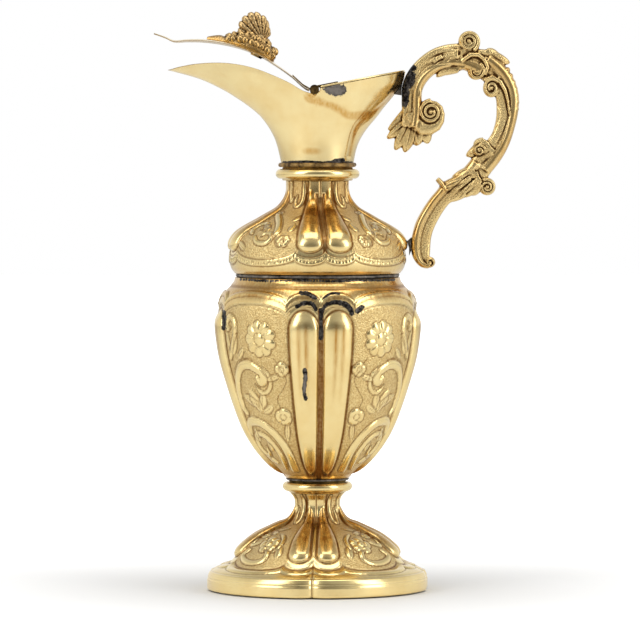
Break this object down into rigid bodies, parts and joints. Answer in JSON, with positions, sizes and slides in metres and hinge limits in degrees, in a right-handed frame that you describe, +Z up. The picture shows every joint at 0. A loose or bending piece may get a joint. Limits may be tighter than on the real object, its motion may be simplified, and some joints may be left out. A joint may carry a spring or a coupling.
{
  "type": "lidded jug",
  "caption": "Gilt copper jug with a pouring lip, hinged lid with shell finial, scroll handle and domed foot, its sides raised in gadroons and flower panels.",
  "frame": {"origin": "centre of the foot's flat resting ring, on the surface that the jug stands on", "axes": "+Z up along the jug's axis, -X towards the pouring lip, +X towards the handle, Y along the hinge pin"},
  "size_m": [0.1825, 0.1102, 0.2887],
  "materials": {
    "gilt_copper": "fire-gilt raised copper sheet, polished high parts over a matted ground",
    "cast_gilt": "cast and gilt, matt with brown patina in the recesses",
    "soft_solder": "dark grey oxidised solder",
    "hinge_metal": "darkened brass"
  },
  "bodies": {
    "ewer": {"foot_band": "gilt_copper", "foot_dome": "gilt_copper", "stem_collar": "gilt_copper", "base_solder": "soft_solder", "body": "gilt_copper", "shoulder_solder": "soft_solder", "shoulder": "gilt_copper", "neck_collar": "gilt_copper", "neck_solder": "soft_solder", "spout": "gilt_copper", "rear_cover": "gilt_copper", "hinge_fixed_leaf": "hinge_metal", "hinge_pin": "hinge_metal", "handle_upper_scroll": "cast_gilt", "handle_lower_scroll": "cast_gilt", "handle_top_solder": "soft_solder", "handle_foot_solder": "soft_solder"},
    "lid": {"lid": "gilt_copper", "hinge_moving_leaf": "hinge_metal", "finial_base": "cast_gilt", "finial_shell": "cast_gilt", "finial_washer": "cast_gilt", "finial_nut": "cast_gilt"}
  },
  "joints": [
    {"name": "lid_hinge", "type": "hinge", "parent": "ewer", "child": "lid", "pos_m": [-0.0015, 0, 0.2495], "axis": [0, 1, 0], "range_deg": [-10.5, 85]}
  ]
}
